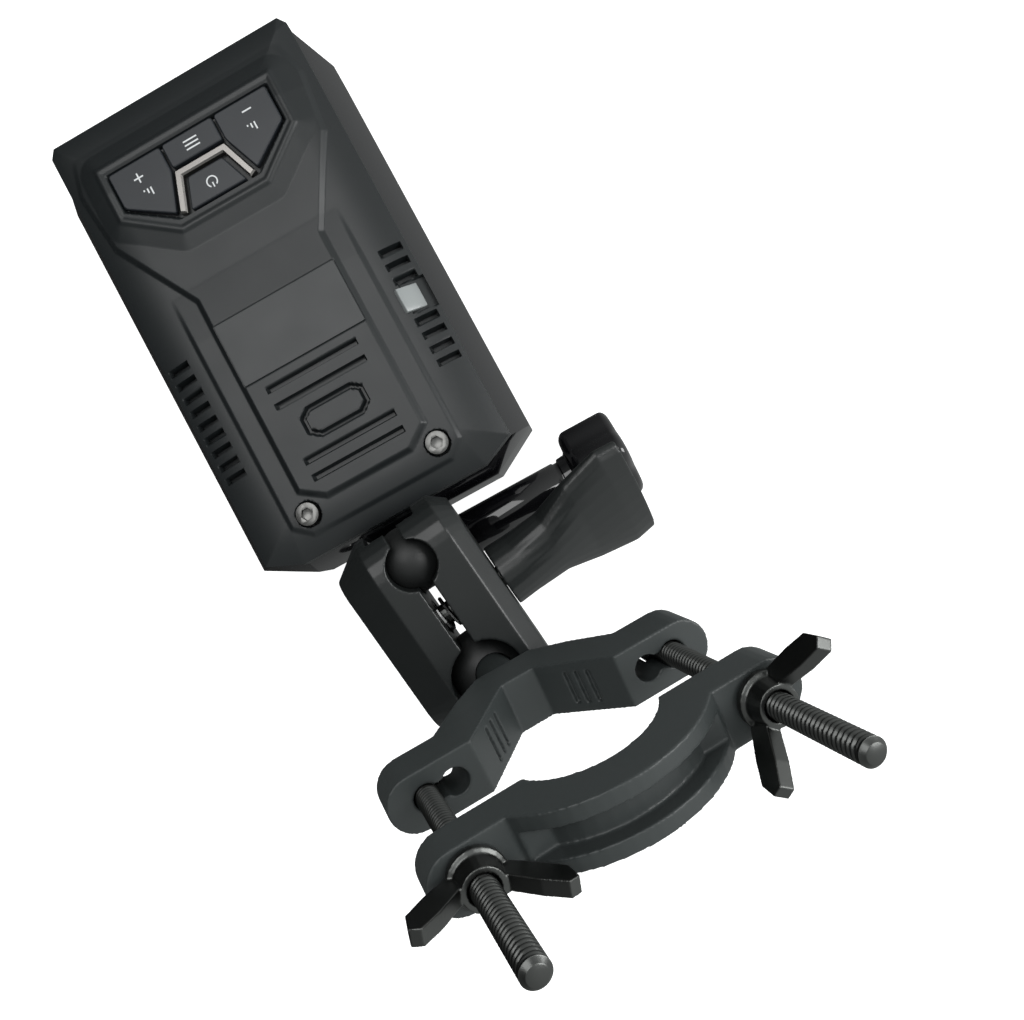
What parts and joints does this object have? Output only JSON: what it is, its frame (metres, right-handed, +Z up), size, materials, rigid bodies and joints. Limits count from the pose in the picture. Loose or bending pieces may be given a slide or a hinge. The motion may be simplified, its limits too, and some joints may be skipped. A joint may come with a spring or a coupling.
{
  "type": "radar detector",
  "caption": "Car radar detector with rear keys, on a ball arm and thumb screw that clamp it to a bar.",
  "frame": {"origin": "middle of the footprint, on the surface the detector lies on", "axes": "+Z up, out of the rear cover; +Y from the clamp towards the far end of the detector; +X across the detector, towards the thumb screw's knob"},
  "size_m": [0.0952, 0.1816, 0.1311],
  "materials": {
    "gloss_black": "gloss moulded case",
    "case_grey": "fine matte moulded cover",
    "key_grey": "satin keys",
    "trim_chrome": "warm plated trim",
    "label_grey": "satin blank label",
    "lens_smoke": "smoked display lens",
    "panel_dark": "display panel",
    "window_clear": "clear side window",
    "sensor_resin": "moulded sensor body",
    "board_green": "circuit board",
    "horn_metal": "cast horn",
    "speaker_black": "speaker body",
    "socket_steel": "socket shell",
    "screw_steel": "dark plated screw",
    "bolt_steel": "dark plated bolt",
    "chrome_nut": "polished nut",
    "spring_steel": "spring wire",
    "mount_plastic": "semi-matte mount moulding",
    "arm_plastic": "satin arm moulding",
    "knob_gloss": "gloss knob",
    "ball_rubber": "rubber coat",
    "mat_rubber": "key mat"
  },
  "bodies": {
    "clamp_base": {"saddle": "mount_plastic", "clamp_bolt_left": "bolt_steel", "clamp_bolt_right": "bolt_steel"},
    "clamp_jaw": {"jaw": "mount_plastic"},
    "nut_left": {"wing_nut_left": "bolt_steel"},
    "nut_right": {"wing_nut_right": "bolt_steel"},
    "lower_ball": {"lower_ball_coat": "ball_rubber"},
    "arm": {"arm_shell_left": "arm_plastic", "arm_shell_right": "arm_plastic", "arm_bolt": "bolt_steel", "arm_spring": "spring_steel"},
    "arm_knob": {"wing_knob": "arm_plastic"},
    "upper_ball": {"upper_ball_coat": "ball_rubber"},
    "adapter": {"ball_adapter": "mount_plastic", "cap_nut": "chrome_nut"},
    "thumb_screw": {"thumb_screw": "knob_gloss"},
    "detector": {"front_shell": "gloss_black", "display_lens": "lens_smoke", "display_panel": "panel_dark", "rear_cover": "case_grey", "label_plate": "label_grey", "sensor_window": "window_clear", "power_trim": "trim_chrome", "case_screw_left": "screw_steel", "case_screw_right": "screw_steel", "circuit_board": "board_green", "keypad_mat": "mat_rubber", "light_sensor": "sensor_resin", "horn_antenna": "horn_metal", "speaker": "speaker_black", "power_socket": "socket_steel", "unit_bracket": "mount_plastic"},
    "key_volume_up": {"button_volume_up": "key_grey"},
    "key_menu": {"button_menu": "key_grey"},
    "key_volume_down": {"button_volume_down": "key_grey"},
    "key_power": {"button_power": "key_grey"}
  },
  "joints": [
    {"name": "jaw_slide", "type": "slide", "parent": "clamp_base", "child": "clamp_jaw", "axis": [0.2817, -0.2672, 0.9215], "range_m": [-0.0215, 0.0175]},
    {"name": "nut_left_turn", "type": "hinge", "parent": "clamp_jaw", "child": "nut_left", "pos_m": [-0.01186, -0.07927, 0.10833], "axis": [0.2817, -0.2672, 0.9215], "continuous": true},
    {"name": "nut_right_turn", "type": "hinge", "parent": "clamp_jaw", "child": "nut_right", "pos_m": [0.03634, -0.07927, 0.09359], "axis": [0.2817, -0.2672, 0.9215], "continuous": true},
    {"name": "lower_ball_twist", "type": "hinge", "parent": "clamp_base", "child": "lower_ball", "pos_m": [-0.00945, -0.05869, 0.03], "axis": [0.2817, -0.2672, 0.9215], "continuous": true},
    {"name": "lower_ball_swing", "type": "hinge", "parent": "lower_ball", "child": "arm", "pos_m": [-0.00945, -0.05869, 0.03], "axis": [0.9907, 0.1062, -0.0851], "range_deg": [-82, 10]},
    {"name": "arm_knob_turn", "type": "hinge", "parent": "arm", "child": "arm_knob", "pos_m": [0.00317, -0.04346, 0.03141], "axis": [0.9907, 0.1062, -0.0851], "range_deg": [-30, 30]},
    {"name": "upper_ball_swing", "type": "hinge", "parent": "arm", "child": "upper_ball", "pos_m": [-0.01195, -0.03119, 0.0352], "axis": [0.9907, 0.1062, -0.0851], "range_deg": [0, 90]},
    {"name": "upper_ball_twist", "type": "hinge", "parent": "upper_ball", "child": "adapter", "pos_m": [-0.01195, -0.03119, 0.0352], "axis": [0, 0, 1], "range_deg": [0, 45]},
    {"name": "detector_tilt", "type": "hinge", "parent": "adapter", "child": "detector", "pos_m": [-0.01195, -0.03119, 0.012], "axis": [1, 0, 0], "range_deg": [-60, 0]},
    {"name": "thumb_screw_turn", "type": "hinge", "parent": "adapter", "child": "thumb_screw", "pos_m": [-0.01195, -0.03119, 0.012], "axis": [1, 0, 0], "continuous": true},
    {"name": "key_volume_up_press", "type": "slide", "parent": "detector", "child": "key_volume_up", "axis": [0, 0, -1], "range_m": [0, 0.0006], "stiffness_N_per_m": 1500, "springref_m": -0.0002},
    {"name": "key_menu_press", "type": "slide", "parent": "detector", "child": "key_menu", "axis": [0, 0, -1], "range_m": [0, 0.0006], "stiffness_N_per_m": 1500, "springref_m": -0.0002},
    {"name": "key_volume_down_press", "type": "slide", "parent": "detector", "child": "key_volume_down", "axis": [0, 0, -1], "range_m": [0, 0.0006], "stiffness_N_per_m": 1500, "springref_m": -0.0002},
    {"name": "key_power_press", "type": "slide", "parent": "detector", "child": "key_power", "axis": [0, 0, -1], "range_m": [0, 0.0006], "stiffness_N_per_m": 1500, "springref_m": -0.0002}
  ]
}
